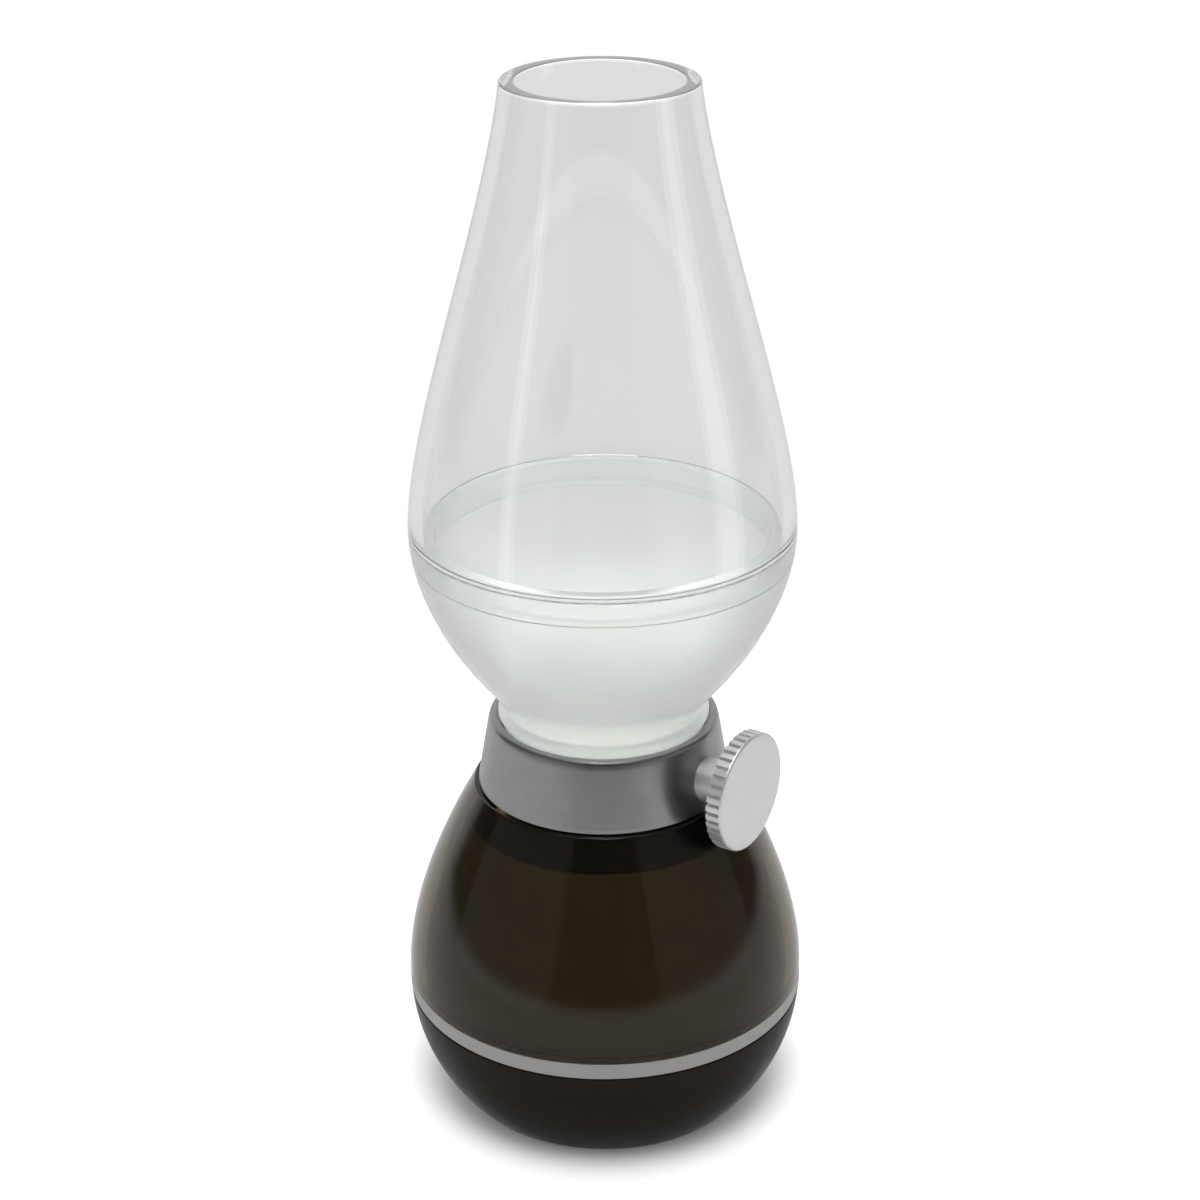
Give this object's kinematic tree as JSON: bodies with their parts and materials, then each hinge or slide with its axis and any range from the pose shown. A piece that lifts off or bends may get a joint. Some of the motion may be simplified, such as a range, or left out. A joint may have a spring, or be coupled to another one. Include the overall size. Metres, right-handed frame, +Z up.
{
  "type": "oil lamp",
  "caption": "Rechargeable table lantern shaped as an oil lamp: clear chimney on a frosted bowl, satin collar with a knurled dimmer knob, and a round smoked base.",
  "frame": {"origin": "middle of the foot pad's underside, on the surface the lamp stands on", "axes": "+Z up through the chimney; +X out along the dimmer knob's axis; +Y towards the charge socket at the back"},
  "size_m": [0.0648, 0.0648, 0.17],
  "materials": {
    "clear_plastic": "clear, polished",
    "frosted_plastic": "translucent white, frosted inside",
    "satin_aluminium": "fine satin",
    "knob_aluminium": "light satin, knurled rim",
    "smoked_plastic": "smoked olive brown, polished",
    "bronze_lacquer": "metallic bronze lacquer",
    "black_plastic": "moulded, fine grain",
    "umber_plastic": "satin dark brown",
    "foot_rubber": "matt",
    "silicone": "translucent white",
    "plated_steel": "plated, satin",
    "board_green": "solder mask",
    "board_white": "white solder mask",
    "cell_pouch": "laminated foil pouch",
    "phosphor_yellow": "phosphor over chip",
    "chip_black": "moulded epoxy",
    "nylon_white": "natural nylon",
    "red_sleeve": "insulated lead",
    "black_sleeve": "insulated lead"
  },
  "bodies": {
    "base": {"collar": "satin_aluminium", "neck_frame": "black_plastic", "neck_gasket": "silicone", "led_board": "board_white", "led_diffuser": "frosted_plastic", "blow_microphone": "plated_steel", "led_1": "phosphor_yellow", "led_2": "phosphor_yellow", "led_3": "phosphor_yellow", "led_4": "phosphor_yellow", "dimmer_body": "plated_steel", "dimmer_bush": "plated_steel", "dimmer_board": "board_green", "reservoir_shell": "smoked_plastic", "reservoir_liner": "bronze_lacquer", "trim_ring": "satin_aluminium", "base_pan": "umber_plastic", "base_plate": "umber_plastic", "foot_pad": "foot_rubber", "ballast_disc": "plated_steel", "battery_tray": "black_plastic", "battery_cell": "cell_pouch", "main_board": "board_green", "charge_socket": "plated_steel", "charge_light_pipe": "clear_plastic", "charge_led": "phosphor_yellow", "power_inductor": "chip_black", "driver_chip": "chip_black", "battery_plug": "nylon_white", "battery_lead_red": "red_sleeve", "battery_lead_black": "black_sleeve", "plate_screw_1": "plated_steel", "board_screw_1": "plated_steel", "neck_screw_1": "plated_steel", "plate_screw_2": "plated_steel", "board_screw_2": "plated_steel", "neck_screw_2": "plated_steel", "plate_screw_3": "plated_steel", "board_screw_3": "plated_steel", "neck_screw_3": "plated_steel", "lamp_lead_1": "red_sleeve", "lamp_lead_2": "black_sleeve", "lamp_lead_3": "red_sleeve", "lamp_lead_4": "black_sleeve"},
    "chimney": {"chimney_glass": "clear_plastic", "globe_bowl": "frosted_plastic"},
    "knob": {"knob_wheel": "knob_aluminium", "dimmer_shaft": "plated_steel"}
  },
  "joints": [
    {"name": "chimney_lift", "type": "slide", "parent": "base", "child": "chimney", "axis": [0, 0, 1], "range_m": [0, 0.04]},
    {"name": "knob_turn", "type": "hinge", "parent": "base", "child": "knob", "pos_m": [0.025, 0, 0.0608], "axis": [-1, 0, 0], "range_deg": [0, 300]}
  ]
}
